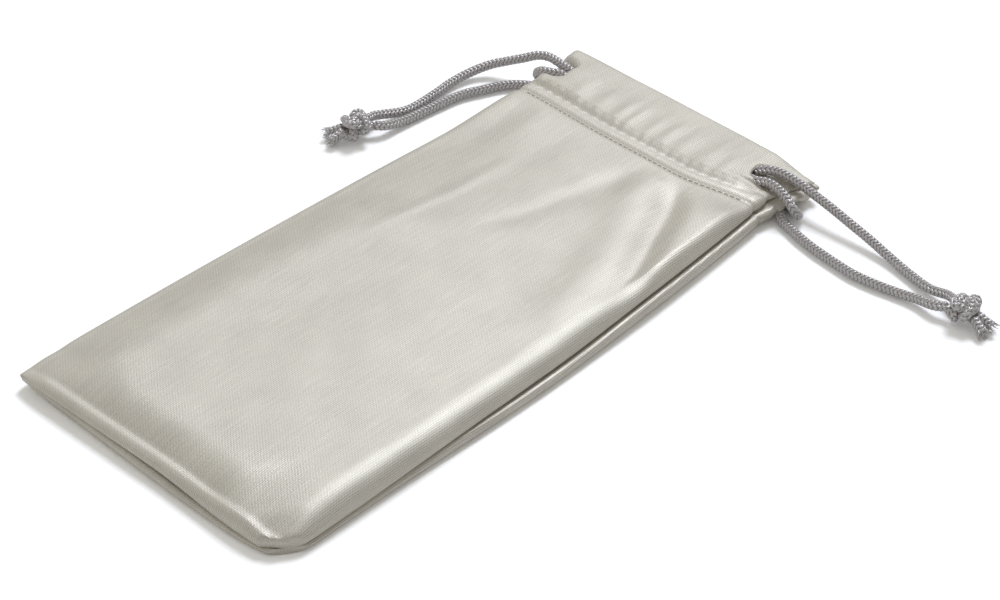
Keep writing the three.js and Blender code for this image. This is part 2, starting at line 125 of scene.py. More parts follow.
# Soft waves of the cloth: place across and along in mm, half-widths across and along, height
WAVES = [
    (-15, 56, 4, 11, -0.2), (7.5, 54, 3, 12, -0.25), (14, 60, 3, 8, 0.2), (-26, 60, 3.4, 9, 0.2),
    (-32, 52, 4, 16, -0.25), (8, -20, 14, 22, 0.2), (-14, -40, 10, 18, -0.15),
]
# Puckers of the header: place across in mm, half-width, height
PUCKERS = [
    (-25, 2.2, 0.36), (-17.5, 2, 0.3), (-11, 1.5, 0.4), (-7, 1.3, 0.36), (-1, 1.6, 0.3), (4, 1.6, 0.4),
    (9.5, 1.8, 0.28), (17, 2.4, 0.36), (22.5, 1.6, 0.3),
]

# Routes of the free cords, in mm: way out from the side edge, way along from the slit, height
EDGE_X = 37.98
RIGHT_FRONT_ROUTE = [
    (-7.8, 2.6, 7.7), (-5, 3.8, 7.8), (0.8, 4.5, 7), (5.6, 4.4, 6.2), (10.8, 4.1, 5.4), (17, 3.7, 4.2),
    (24, 3.2, 2.9), (31, 2.2, 1.8), (39, 0.5, 1.5), (45.4, -0.8, 1.9),
]
RIGHT_BACK_ROUTE = [
    (-7.8, -1.55, 1.6), (0, -2, 1.6), (3, -4, 1.5), (6, -4.9, 1.5), (10, -6.1, 1.5), (15.3, -7.2, 1.5),
    (22, -8, 1.5), (28, -8.5, 1.5), (34, -8, 1.5), (40, -6.9, 1.5), (45.4, -6, 1.9),
]
LEFT_FRONT_ROUTE = [
    (-3.6, 1.55, 7.3), (0, 1.7, 7.6), (2.9, 1.7, 7.7), (5.7, 0.7, 7.5), (9, -1.6, 6.2), (12.6, -3.9, 4.7),
    (15.8, -6.4, 3.4), (18.3, -11, 2.2), (19.2, -17.4, 1.6), (18.7, -24, 1.5), (18.8, -33.8, 1.5),
]
LEFT_BACK_ROUTE = [
    (-3.6, -1.55, 1.6), (0, -1.9, 1.6), (2.4, -3.4, 1.5), (5.2, -5, 1.5), (8.4, -8, 1.5), (11.6, -14.3, 1.5),
    (13.7, -19.4, 1.5), (14.7, -26, 1.5), (15.4, -32.6, 1.5), (16, -38.6, 1.8),
]
# The bends round the side edges, from the front slit to the back one
RIGHT_BIGHT = [
    (-7.2, -2, 7.2), (-3.9, -1, 7.6), (1, -1.5, 6.9), (4, -2.1, 5.3), (5.2, -1.6, 3.6), (4.7, -0.2, 2.2),
    (2.6, 1, 1.6), (-1.5, 1.5, 1.6), (-7.8, 1.55, 1.6),
]
LEFT_BIGHT = [
    (-4.3, -1.4, 7.3), (-2.2, -2.5, 7.5), (0.2, -3.2, 7.2), (2.6, -3, 5.6), (3.4, -2.1, 3.9), (2.6, 0.1, 2.3),
    (0, 1.3, 1.6), (-3.6, 1.55, 1.6),
]
# The runs through the hem, in mm: heights round and flat, the two lanes, and how far the cord is squeezed
CORD_ENTRY = 1
CORD_HEIGHT = {"front": 6.6, "back": 1.6}
FLAT_HEIGHT = {"front": 7.1, "back": 1.4}
LANE_OFFSET = 1.55
FLAT_LANE_OFFSET = 2.2
FLAT_CORD = 1.2
SLIT_SQUEEZE = 0.85
TURN_SQUEEZE = 0.7
SQUEEZE_SPREAD = 0.55
# The knots, in mm: height and reach, size and depth of their turns, and how far the two cords lie apart
KNOT_HEIGHT = 4.3
KNOT_END = 4.6
KNOT_TURN = 0.85
KNOT_DEPTH = 1.75
KNOT_APART = 0.9
KNOT_CORD_SHARE = 0.92
KNOT_OPENING = 0.35
KNOT_POINTS = 26
# The tails past the knots, in mm, and how much they flare at their cut ends
TAIL_REACH = 2.4
TAIL_ROOT = 1.2
TAIL_HEIGHT = 1.9
TAIL_FLARE = 0.16
TAIL_FLARE_LENGTH = 2.2
# The two cords: way out, slit, knot, routes, directions at the knot, lanes, and heights where they cross
CORDS = [
    SimpleNamespace(
        name="right_cord", sign=1, slit=RIGHT_SLIT, knot=(95.48, 76.8, KNOT_HEIGHT),
        routes={"front": RIGHT_FRONT_ROUTE, "back": RIGHT_BACK_ROUTE}, bight=LEFT_BIGHT,
        ends={"front": (-0.92, 0.36, -0.2), "back": (-0.92, -0.36, -0.2)},
        tails={"front": (0.96, 0.2, -0.25), "back": (0.94, -0.26, -0.25)},
        lanes={"front": 1, "back": -1}, crossing={"front": 6.3, "back": 1.4},
    ),
    SimpleNamespace(
        name="left_cord", sign=-1, slit=LEFT_SLIT, knot=(-58.48, 30.7, KNOT_HEIGHT),
        routes={"front": LEFT_FRONT_ROUTE, "back": LEFT_BACK_ROUTE}, bight=RIGHT_BIGHT,
        ends={"front": (-0.15, 0.95, -0.2), "back": (0.53, 0.82, -0.2)},
        tails={"front": (-0.7, -0.68, -0.25), "back": (-0.26, -0.94, -0.25)},
        lanes={"front": -1, "back": 1}, crossing={"front": 7.5, "back": 2.9},
    ),
]

# The braid, in mm: slanted yarns in rows round a core, and the fibres of its frayed ends
BRAID_STEP = 0.24
CORE_SHARE = 0.82
CORE_SIDES = 10
YARN_ROWS = 8
YARN_PITCH = 1.08
YARN_LENGTH = 1.75
YARN_SLANT = math.radians(36)
YARN_WIDE = 0.41
YARN_THICK = 0.34
YARN_DIVE = 0.3
YARN_TAPER = 1.7
YARN_PARTS = 5
YARN_SIDES = 6
FRAY_FIBRES = 26
FRAY_LENGTH = 1.8
FRAY_SEED = 7
FIBRE_ROOT = 0.15
FIBRE_TIP = 0.06
FIBRE_LOWEST = 0.12

# The knit, in mm: its ribs and courses, and the length that is 1 in the lay, the UV map of every piece
RIB = 0.5
COURSE = 0.8
LAY = 100
# Settings of a node that multiplies a colour by a shade
TINT = {"data_type": "RGBA", "blend_type": "MULTIPLY"}

# The stitches: points in each, rise above the cloth as a share of the thread, and dip at both ends in mm
STITCH_POINTS = 9
STITCH_RISE = {"upper": -0.4, "lower": 0.4}
STITCH_DIP = 0.5
THREAD_SIDES = 6

# The studio, in metres and watts: a soft lamp overhead behind the pouch, and the light of the room and floor
SOFTBOX_SIDE = 0.9
SOFTBOX_POWER = 34
SOFTBOX_PLACE = (-0.47, 1.35, 2.16)
SOFTBOX_COLOUR = (0.93, 0.98, 1.08)
FLOOR_SIDE = 8
ROOM_COLOUR = (1, 0.985, 0.945, 1)
ROOM_DARK_WAY = (0.9, 0.4, 0)
ROOM_BRIGHT = 0.585
ROOM_DARK = 0.315
ROOM_SEEN = 1.1
FLOOR_BASE = 0.9
FLOOR_SEEN = 1.35
FLOOR_GLOW = 0.02


def linear(code):
    """The linear colour of an sRGB hex code."""
    parts = [int(code[k:k + 2], 16) / 255 for k in (0, 2, 4)]
    return tuple(c / 12.92 if c <= 0.04045 else ((c + 0.055) / 1.055) ** 2.4 for c in parts)


def length_property(name, description, default):
    """A length that a user would change, in metres."""
    return bpy.props.FloatProperty(name=name, description=description, default=default, unit="LENGTH")


def colour_property(name, description, code):
    """A colour that a user would change, given as an sRGB hex code."""
    return bpy.props.FloatVectorProperty(
        name=name, description=description, subtype="COLOR", default=linear(code),
    )


class PouchSizes(bpy.types.PropertyGroup):
    """Sizes of the pouch that a user would change."""

    length: length_property("Length", "From the bottom edge to the mouth", PANEL_HIGH[1] - PANEL_LOW[1])
    bottom_width: length_property(
        "Bottom width", "Across the bottom edge, rolls included", PANEL_HIGH[0] - PANEL_LOW[0],
    )
    hem_width: length_property("Hem width", "Across the upper hem row, where the pouch is narrowest", 0.075)
    mouth_width: length_property("Mouth width", "Across the mouth", 0.079)
    header: length_property("Header", "From the mouth down to the upper hem row", 0.0174)
    hem_band: length_property("Hem band", "Between the two hem rows", 0.0056)
    cloth: length_property("Cloth", "Thickness of the knitted cloth", 0.0005)
    thread: length_property("Thread", "Diameter of the sewing thread", 0.00042)
    stitch: length_property("Stitch", "Length of one hem stitch", 0.0016)
    cord: length_property("Cord", "Diameter of the braided cord", 0.0028)


class PouchColours(bpy.types.PropertyGroup):
    """Colours of the pouch's materials."""

    cloth: colour_property("Cloth", "Silver-beige satin microfibre", "d3cec2")
    thread: colour_property("Thread", "Sewing thread, a shade lighter than the cloth", "e4e0d4")
    cord: colour_property("Cord", "Grey polyester yarn", "cbc7c7")


def sizes_of(context):
    """The pouch's sizes in mm, and the places worked out from them."""
    group = context.scene.pouch_sizes
    size = SimpleNamespace(**{name: getattr(group, name) / MM for name in PouchSizes.__annotations__})
    size.mouth_y = size.length / 2
    size.bottom_y = -size.length / 2
    size.upper_row = size.mouth_y - size.header
    size.lower_row = size.upper_row - size.hem_band
    size.slit_y = size.upper_row + SLIT_FROM_UPPER_ROW
    return size


def ease(t):
    """A smooth step from 0 to 1."""
    t = np.clip(t, 0, 1)
    return t * t * (3 - 2 * t)


def swell(distance, width):
    """A smooth hump, 1 at its middle."""
    return np.exp(-(distance / width) ** 2)


def half_width(size, y):
    """Half the pouch's width at a place along it: a slow taper to the hem, then a flare to the mouth."""
    share = np.clip((y - size.bottom_y) / (size.upper_row - size.bottom_y), 0, 1)
    flare = np.clip((y - size.upper_row) / size.header, 0, 1)
    taper = (size.bottom_width - size.hem_width) * (1 - share ** TAPER_POWER)
    spread = (size.mouth_width - size.hem_width) * flare ** FLARE_POWER
    return (size.hem_width + taper + spread) / 2


def side_edge(size, y, sign, side):
    """Place across of a panel's side edge. The hem is drawn to the left, and the mouth's corners part."""
    drawn = -1.2 * swell(y - size.lower_row, 20)
    parted = (0 if side > 0 else 0.4) * ease((y - size.slit_y) / 9)
    under = 0
    if side < 0 < sign:
        under = 1.7 * ease((y + 70) / 70) + 1.2 * ease((y - size.lower_row) / 7)
        under = under - 1.8 * ease((y - size.slit_y - 2) / 7)
    return sign * (half_width(size, y) + parted + under) + drawn


def lengths_along(path):
    """How far along a path each of its points is."""
    return np.concatenate([[0], np.cumsum(np.linalg.norm(np.diff(path, axis=0), axis=1))])


def along_fold(x, y, path):
    """Distance of points from a fold's line, positive on its right, and their place along it, 0 to 1."""
    path = np.asarray(path, float)
    spans = np.linalg.norm(np.diff(path, axis=0), axis=1)
    starts = lengths_along(path)
    best = np.full(np.shape(x), np.inf)
    place = np.zeros(np.shape(x))
    for a, b, span, start in zip(path, path[1:], spans, starts):
        share = np.clip(((x - a[0]) * (b[0] - a[0]) + (y - a[1]) * (b[1] - a[1])) / span ** 2, 0, 1)
        distance = np.hypot(x - a[0] - share * (b[0] - a[0]), y - a[1] - share * (b[1] - a[1]))
        side = np.where((b[0] - a[0]) * (y - a[1]) - (b[1] - a[1]) * (x - a[0]) > 0, -1, 1)
        nearer = distance < np.abs(best)
        best = np.where(nearer, side * distance, best)
        place = np.where(nearer, (start + share * span) / starts[-1], place)
    return best, place


def seam_height(size, x, y):
    """Height of the seam round the pouch: low at the front corner, half-way up at the hem."""
    right = 1.8 + 1.2 * ease((y + 85) / 60) + 1.1 * ease((y + 5) / 40) + 1.1 * swell(y - size.slit_y + 1, 6)
    left = 3.0 + 1.0 * ease((y + 20) / 80)
    return left + (right - left) * ease((x + 6) / 40)


def pressed(size, x, y):
    """Share of the pressing-down that the cords give the cloth outside each slit."""
    away = np.abs(y - size.slit_y)
    ramp = SLIT_LIP + 5 * ease((away - SLIT_HALF + 1) / 3)
    right = ease((x - RIGHT_SLIT + SLIT_LIP / 2) / ramp)
    left = ease((LEFT_SLIT + SLIT_LIP / 2 - x) / ramp)
    return np.maximum(right, left) * ease((SLIT_HALF + 3 - away) / 4)


def shoulder(distance, width):
    """A rounded rise from 0 to 1, steepest at its foot."""
    return 1 - (1 - np.clip(distance / width, 0, 1)) ** 2


def front_top(size, x, y):
    """Height of the front panel's outer face: a flat top that falls over a shoulder to a raised rim."""
    from_bottom = y - size.bottom_y
    from_left = x - side_edge(size, y, -1, 1)
    past_lower, past_upper, past_slit = y - size.lower_row, y - size.upper_row, y - size.slit_y
    # The rim along the bottom and the shoulder up to the body
    rim = RIM_TOP + 0.5 * ease((x - 18) / 10) - 0.2 * ease((from_bottom - 1.6) / 2)
    broad = 9 + 6 * ease((-16 - x) / 14) + 12 * ease((x - 20) / 9)
    z = rim + (BODY_TOP - rim) * shoulder(from_bottom - 3.5, broad)
    # The slow fall to the left side, and the two bottom corners drawn down
    side_rim = RIM_TOP - 0.2 + (HEM_TOP - RIM_TOP + 0.2) * ease((past_lower + 26) / 24)
    header = ease((past_upper + 2.6 + 0.3 * np.cos(2 * math.pi * x / SCALLOP)) / 3)
    slope = 15 + 35 * ease((y + 10) / 50)
    fall = (BODY_TOP - side_rim) * (1 - shoulder(from_left - 2.8, slope)) * (1 - 0.9 * header)
    z -= fall * ease((from_bottom - 1) / 12)
    z -= 1.5 * ease((8 - from_left) / 8) * ease((10 - from_bottom) / 10)
    from_slant = size.bottom_width / 2 - x + CORNER_SLANT * from_bottom - RIGHT_CORNER_CUT
    z -= 1.6 * ease((10 - from_slant) / 10)
    # The hollow below the hem, the long folds and the waves
    beyond, _ = along_fold(x, y, HOLLOW)
    sunk = HOLLOW_DEPTH * swell(beyond, HOLLOW_LEFT)
    risen = HOLLOW_DEPTH - HOLLOW_RISE * (1 - swell(beyond, HOLLOW_RIGHT))
    z -= np.where(beyond < 0, sunk, risen) * ease((y - 10) / 22) * ease((1 - past_lower) / 14)
    body = ease(-past_lower / 6)
    for line, offset, width, rise in FOLDS:
        aside, place = along_fold(x, y, line)
        z += rise * swell(aside - offset, width) * ease(place * 4) * ease((1 - place) * 4) * body
    for x_middle, y_middle, across, along, height in WAVES:
        z += height * swell(x - x_middle, across) * swell(y - y_middle, along) * body
    # The hem, lower than the body and lowest at the right, its header puffed and puckered, its rows pulled in
    z += (HEM_TOP - BODY_TOP) * ease((past_lower + 44) / 44)
    z += header * (HEADER_PUFF - 0.35 + 0.35 * swell(past_slit, 6))
    z += 0.45 * swell(x - LEFT_SLIT - 3, 4.5) * swell(past_slit, 6)
    z -= (0.6 + 2.2 * header) * ease((past_lower + 9) / 9) * ease((x - 26) / 13)
    z -= 0.3 * swell(past_lower, 0.7) + 0.12 * swell(past_upper, 0.6)
    z += 0.2 * swell(past_lower - 2, 1.3)
    for middle, width, height in PUCKERS:
        z += height * swell(x - middle, width) * header * swell(past_upper - 4.5, 5.5)
    return z + (CORD_BED - z) * pressed(size, x, y)


def back_bottom(size, x, y):
    """Height of the back panel's outer face."""
    z = UNDERSIDE + 0.5 * swell(y - size.lower_row, 0.8) + 0.7 * swell(y - size.upper_row, 1.1)
    z = z + 0.6 * ease((x - 26) / 10) * ease((y - size.lower_row + 10) / 8)
    pinched = ease((12 - x + side_edge(size, y, -1, -1)) / 12) * ease((14 - y + size.bottom_y) / 14)
    return z + (BACK_CORD_BED - z) * pressed(size, x, y) + 1.6 * pinched


def flap_height(size, x, y, side):
    """Height of the hem's inner layer, which drops in the pockets beside the slits to let the cords pass."""
    outer = HEM_TOP + HEADER_PUFF if side > 0 else UNDERSIDE
    inner = outer - side * HEM_STACK
    seam = seam_height(size, x, y) + side * 0.7 * ease((39 - np.abs(x)) / 8)
    edge = np.maximum(ease((x - 18) / 6), ease((-12 - x) / 6))
    return inner + (seam - inner) * edge


def settled(size, points, side):
    """Points of a straight-sewn pouch as it lies: hem rows bowed, bottom edge bowed, corners drawn in."""
    x, y = points[:, 0], points[:, 1]
    moved = points.copy()
    bend = 1.2 * ease((-8 - x) / 28) + 4.2 * ease((x - 14) / 28)
    moved[:, 1] += bend * ease((y - 40) / 22) * ease((size.slit_y + 1 - y) / 9)
    if side > 0:
        bow = -0.3 - 0.9 * ease((x - 2) / 26) * ease((48 - x) / 16)
        from_slit = y - size.slit_y
        bent = (0.1 * from_slit ** 2 - 0.35 * from_slit) * ease((6 - np.abs(from_slit)) / 3)
    else:
        bow = 0.4 - 1.9 * ease((x + 45) / 60) * ease((48 - x) / 22)
        bent = 0
    moved[:, 1] += bow * ease((size.bottom_y + 30 - y) / 28)
    moved[:, 0] += bent * swell(x - RIGHT_SLIT - 1, 4.5)
    return blunt_corner(size, moved)


def with_marks(places, marks, gap):
    """Places with marks put among them, without those that lie closer than a gap to a mark."""
    far = np.min(np.abs(places[:, None] - marks), axis=1) > gap
    return np.sort(np.concatenate([places[far], marks]))


def grid_shares(size, side):
    """Places of the cloth's columns, 0 at the left edge to 1 at the right, with one on each slit's lip."""
    left, right = face_edges(size, size.slit_y, side)
    lips = [slit + k * SLIT_LIP / 2 for slit in (LEFT_SLIT, RIGHT_SLIT) for k in (-1, 1)]
    lips = (np.array(lips) - left) / (right - left)
    lips = np.clip(lips, 0.012, 0.988)
    return with_marks(np.linspace(0, 1, GRID_COLUMNS), lips, 0.003), lips


def grid_rows(size, side):
    """Places of the cloth's rows along the pouch, closer together at the bottom and the hem."""
    low = size.bottom_y + ROUNDS[side].bottom
    top = size.mouth_y - FOLD_RADIUS
    rows = np.concatenate([
        np.arange(low, low + 20, 0.7),
        np.arange(low + 20, size.lower_row - 8, 1.3),
        np.arange(size.lower_row - 8, size.upper_row + 4, 0.36),
        np.arange(size.upper_row + 4, top - 0.3, 0.6),
        [top],
    ])
    ends = np.array([size.slit_y - SLIT_HALF, size.slit_y + SLIT_HALF])
    return with_marks(rows, ends, 0.15), ends


def face_edges(size, y, side):
    """Where a panel's face ends and its edges begin to round over."""
    rounds = ROUNDS[side]
    hem = ease((y - size.lower_row + 12) / 14)
    left = rounds.left + (rounds.left_hem - rounds.left) * hem
    right = rounds.right + (rounds.right_hem - rounds.right) * ease((y - 5) / 35)
    return side_edge(size, y, -1, side) + left, side_edge(size, y, 1, side) - right


def blunt_corner(size, points):
    """Draws the two bottom corners in, the right one to a short slant and the left one hardly at all."""
    moved = points.copy()
    for sign, cut in ((1, RIGHT_CORNER_CUT), (-1, LEFT_CORNER_CUT)):
        from_side = size.bottom_width / 2 - sign * points[:, 0]
        from_bottom = (points[:, 1] - size.bottom_y) * CORNER_SLANT
        near = np.maximum(from_side, 0) + np.maximum(from_bottom, 0)
        push = ((near ** 12 + cut ** 12) ** (1 / 12) - near) / 2 * (sign * points[:, 0] > 0)
        moved[:, 0] -= sign * push
        moved[:, 1] += push / CORNER_SLANT
    return moved


def lay_face(sheet, size, side):
    """A panel's outer face, with its slits left open. Gives its rows of vertices from the bottom up."""
    shares, lips = grid_shares(size, side)
    rows, slit_ends = grid_rows(size, side)
    y, share = np.meshgrid(rows, shares, indexing="ij")
    left_edge, right_edge = face_edges(size, y, side)
    x = left_edge + share * (right_edge - left_edge)
    z = (front_top if side > 0 else back_bottom)(size, x, y)
    numbers = sheet.add_points(np.stack([x, y, z], -1).reshape(-1, 3), np.stack([x, y], -1).reshape(-1, 2))
    grid = np.reshape(numbers, x.shape).tolist()
    middles = (shares[1:] + shares[:-1]) / 2
    in_slit = (lips[0] < middles) & (middles < lips[1]) | (lips[2] < middles) & (middles < lips[3])
    for low, high, lower, upper in zip(rows, rows[1:], grid, grid[1:]):
        beside_slit = slit_ends[0] < (low + high) / 2 < slit_ends[1]
        for k in range(len(middles)):
            if not (beside_slit and in_slit[k]):
                sheet.faces.append((lower[k], lower[k + 1], upper[k + 1], upper[k]))
    return grid


def roll_edge(sheet, size, side, grid):
    """Rounds a panel's edge over, down the left side, along the bottom and up the right. Gives its rings."""
    count = len(grid)
    edge = [row[0] for row in reversed(grid)] + grid[0][1:-1] + [row[-1] for row in grid]
    base, laid = sheet.points[0][edge], sheet.flat[0][edge]
    face_left, face_right = face_edges(size, base[:, 1], side)
    outward = np.zeros((len(edge), 2))
    outward[:count, 0] = (side_edge(size, base[:, 1], -1, side) - face_left)[:count]
    outward[-count:, 0] = (side_edge(size, base[:, 1], 1, side) - face_right)[-count:]
    outward[count - 1:len(edge) - count + 1, 1] = -ROUNDS[side].bottom
    reach = np.maximum(np.abs(outward).max(axis=1), 0.1)
    seam = seam_height(size, base[:, 0], base[:, 1])
    widest = seam + side * np.minimum(CURL_RISE, 0.4 * np.abs(base[:, 2] - seam))
    pinch = 1 - ROW_PINCH * swell(base[:, 1] - size.lower_row, 0.7)
    pinch = pinch - ROW_PINCH * swell(base[:, 1] - size.upper_row, 0.8)
    arc = np.zeros(len(edge))
    before = base
    rings = [edge]
    for ring in range(1, ROLL_RINGS + 2):
        angle = math.pi / 2 - math.pi * ring / ROLL_RINGS
        if ring > ROLL_RINGS:
            out = pinch - (CURL_IN + ALLOWANCE) / reach
            height = seam + side * 0.2 - 0.5
        elif angle >= 0:
            out = math.cos(angle) * pinch
            height = widest + (base[:, 2] - widest) * math.sin(angle)
        else:
            out = pinch - CURL_IN / reach * (1 - math.cos(angle))
            height = widest + (widest - seam) * math.sin(angle)
        points = np.column_stack([base[:, :2] + outward * out[:, None], height])
        arc = arc + np.linalg.norm(points - before, axis=1)
        before = points
        rings.append(sheet.add_points(points, laid + outward / reach[:, None] * arc[:, None]))
        sheet.add_strip(rings[-1], rings[-2])
    return rings[1:ROLL_RINGS + 1]


def fold_hem(sheet, size, side, grid, rings):
    """Folds a panel over at the mouth and lays the hem's inner layer down to the lower row."""
    top_row = [ring[0] for ring in reversed(rings)] + grid[-1] + [ring[-1] for ring in rings]
    start, laid = np.vstack(sheet.points)[top_row], np.vstack(sheet.flat)[top_row]
    seam = seam_height(size, start[:, 0], start[:, 1]) + side * 0.05
    inner = np.where(side * (start[:, 2] - seam) > 0, seam, start[:, 2])
    inside = slice(len(rings), len(top_row) - len(rings))
    inner[inside] = flap_height(size, start[inside, 0], start[inside, 1], side)
    previous = top_row
    for step in range(1, FOLD_STEPS + 1):
        angle = math.pi / 2 - math.pi * step / FOLD_STEPS
        fold = start.copy()
        fold[:, 1] += FOLD_RADIUS * math.cos(angle)
        fold[:, 2] = inner + (start[:, 2] - inner) * (1 + math.sin(angle)) / 2
        current = sheet.add_points(fold, laid + (0, step * FOLD_RADIUS * math.pi / FOLD_STEPS))
        sheet.add_strip(previous, current)
        previous = current
    previous = previous[inside]
    share = start[inside, 0] - start[inside, 0][0]
    share = share / share[-1]
    for place in np.arange(size.mouth_y - FOLD_RADIUS - FLAP_STEP, size.lower_row - 3, -FLAP_STEP):
        low, high = face_edges(size, place, side)
        x = low + share * (high - low)
        y = np.full(len(x), place)
        points = np.column_stack([x, y, flap_height(size, x, y, side)])
        current = sheet.add_points(points, np.column_stack([x, 2 * size.mouth_y + 3 - y]))
        sheet.add_strip(previous, current)
        previous = current


def panel_sheet(size, side):
    """One panel as a sheet: its face, its rounded edge on three sides, and its hem folded in at the mouth."""
    sheet = Mesh()
    grid = lay_face(sheet, size, side)
    rings = roll_edge(sheet, size, side, grid)
    fold_hem(sheet, size, side, grid, rings)
    sheet.points = [settled(size, np.vstack(sheet.points), side)]
    if side < 0:
        sheet.faces = [face[::-1] for face in sheet.faces]
    return sheet


def smooth_route(points, step):
    """Points a step apart on a smooth curve through the given ones; columns past the third ride along."""
    points = np.asarray(points, float)
    knots = np.vstack([2 * points[0] - points[1], points, 2 * points[-1] - points[-2]])
    curve = []
    for a, b, c, d in zip(knots, knots[1:], knots[2:], knots[3:]):
        t1 = np.linalg.norm((b - a)[:3]) ** 0.5
        t2 = t1 + np.linalg.norm((c - b)[:3]) ** 0.5
        t3 = t2 + np.linalg.norm((d - c)[:3]) ** 0.5
        t = np.linspace(t1, t2, 30, endpoint=False)[:, None]
        ab = ((t1 - t) * a + t * b) / t1
        bc = ((t2 - t) * b + (t - t1) * c) / (t2 - t1)
        cd = ((t3 - t) * c + (t - t2) * d) / (t3 - t2)
        abc = ((t2 - t) * ab + t * bc) / t2
        bcd = ((t3 - t) * bc + (t - t1) * cd) / (t3 - t1)
        curve.append(((t2 - t) * abc + (t - t1) * bcd) / (t2 - t1))
    curve = np.vstack(curve + [points[-1:]])
    arc = lengths_along(curve[:, :3])
    places = np.linspace(0, arc[-1], max(int(round(arc[-1] / step)), 2) + 1)
    return np.column_stack([np.interp(places, arc, column) for column in curve.T])


def unit(vectors):
    """Vectors of length 1."""
    return vectors / np.linalg.norm(vectors, axis=-1, keepdims=True)


def frames_along(path):
    """Two crosswise directions at each point of a path, carried along it without twist."""
    tangents = unit(np.gradient(path, axis=0))
    start = np.cross(tangents[0], (0, 0, 1))
    side = unit(start if np.linalg.norm(start) > 0.1 else np.cross(tangents[0], (1, 0, 0)))
    sides = []
    for tangent in tangents:
        side = unit(side - tangent * np.dot(side, tangent))
        sides.append(side)
    sides = np.array(sides)
    return sides, np.cross(tangents, sides)


class Mesh:
    """Vertices, faces and a flat lay of the surface, gathered in mm before they become an object."""

    def __init__(self):
        self.points, self.faces, self.flat, self.total = [], [], [], 0

    def add_points(self, points, flat):
        """Adds vertices with their lay, and gives their numbers."""
        self.points.append(points)
        self.flat.append(flat)
        first = self.total
        self.total += len(points)
        return list(range(first, self.total))

    def add_strip(self, first, second):
        """Adds the faces between two rows of vertices."""
        self.faces += zip(first, first[1:], second[1:], second)

    def add_tube(self, centres, across, upward, wide, thick, sides):
        """A closed tube through centres with an oval section, across and upward being its section's axes."""
        angles = 2 * math.pi * np.arange(sides) / sides
        wide = np.broadcast_to(wide, len(centres))[:, None, None]
        thick = np.broadcast_to(thick, len(centres))[:, None, None]
        ring = wide * np.cos(angles)[None, :, None] * across[:, None, :]
        ring = ring + thick * np.sin(angles)[None, :, None] * upward[:, None, :]
        round_share = np.tile(np.arange(sides) / sides, len(centres))
        flat = np.column_stack([round_share, np.repeat(lengths_along(centres), sides)])
        numbers = self.add_points((centres[:, None, :] + ring).reshape(-1, 3), flat)
        rings = [numbers[k:k + sides] for k in range(0, len(numbers), sides)]
        for lower, upper in zip(rings, rings[1:]):
            self.add_strip(lower + lower[:1], upper + upper[:1])
        self.faces += [tuple(reversed(rings[0])), tuple(rings[-1])]

    def add_braid(self, route, diameter, flare=0.0):
        """A round braid along a route, in chevrons of yarn. A fourth column is its height where squeezed."""
        path = route[:, :3]
        squeeze = route[:, 3] / diameter if route.shape[1] > 3 else np.ones(len(route))
        arc = lengths_along(path)
        sides, others = frames_along(path)
        radius = diameter / 2 - YARN_THICK - YARN_DIVE / 2
        core = radius * CORE_SHARE
        self.add_tube(path, squashed(sides, squeeze), squashed(others, squeeze), core, core, CORE_SIDES)
        shares = np.linspace(-0.5, 0.5, YARN_PARTS)
        plump = np.sqrt(1 - (YARN_TAPER * shares) ** 2)
        for start in np.arange(YARN_PITCH / 2, arc[-1], YARN_PITCH):
            for row in range(YARN_ROWS):
                way = 1 if row % 2 else -1
                place = np.clip(start + shares * YARN_LENGTH * math.cos(YARN_SLANT), 0, arc[-1])
                angle = 2 * math.pi * (row + 0.5) / YARN_ROWS
                angle = angle + way * shares * YARN_LENGTH * math.sin(YARN_SLANT) / radius
                point, side, other, flat = (
                    np.column_stack([np.interp(place, arc, column) for column in values.T])
                    for values in (path, sides, others, squeeze[:, None])
                )
                out = np.cos(angle)[:, None] * side + np.sin(angle)[:, None] * other
                spread = 1 + flare * ease((place - arc[-1] + TAIL_FLARE_LENGTH) / TAIL_FLARE_LENGTH)
                reach = (radius + YARN_DIVE * shares) * spread
                centres = point + squashed(out * reach[:, None], flat[:, 0])
                along = unit(np.gradient(centres, axis=0))
                across = unit(np.cross(along, out))
                thick = YARN_THICK * np.sqrt(flat[:, 0]) * plump
                self.add_tube(centres, across, np.cross(across, along), YARN_WIDE * plump, thick, YARN_SIDES)

    def make(self, name, material):
        """The finished object, in metres, smooth shaded and with its flat lay as its UV map."""
        mesh = bpy.data.meshes.new(name)
        mesh.from_pydata((np.vstack(self.points) * MM).tolist(), [], self.faces)
        layer = mesh.uv_layers.new(name="lay")
        corners = np.empty(len(mesh.loops), np.int32)
        mesh.loops.foreach_get("vertex_index", corners)
        layer.data.foreach_set("uv", (np.vstack(self.flat)[corners] / LAY).astype(np.float32).ravel())
        mesh.polygons.foreach_set("use_smooth", np.ones(len(mesh.polygons), bool))
        mesh.materials.append(material)
        mesh.update()
        piece = bpy.data.objects.new(name, mesh)
        bpy.context.scene.collection.objects.link(piece)
        return piece


def squashed(offsets, squeeze):
    """Offsets from a cord's middle where the cord is squeezed flat, lower and wider."""
    result = offsets.copy()
    result[:, 2] *= squeeze
    result[:, :2] *= (1 + SQUEEZE_SPREAD * (1 - squeeze))[:, None]
    return result


def thicken(piece, thickness):
    """Gives a sheet its thickness inwards."""
    bpy.ops.object.select_all(action="DESELECT")
    piece.select_set(True)
    bpy.context.view_layer.objects.active = piece
    solid = piece.modifiers.new("Cloth", "SOLIDIFY")
    solid.thickness = thickness * MM
    solid.offset = -1
    bpy.ops.object.modifier_apply(modifier=solid.name)
    return piece


def dress(piece, body, slot, *nodes):
    """Ties a piece to its body, and hides the CAD nodes that it stands for. Its slot is not used."""
    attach(piece, body)
    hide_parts(*nodes)


def new_material(name):
    """An empty node material and its node tree."""
    material = bpy.data.materials.new(name)
    material.use_nodes = True
    material.node_tree.nodes.clear()
    return material, material.node_tree


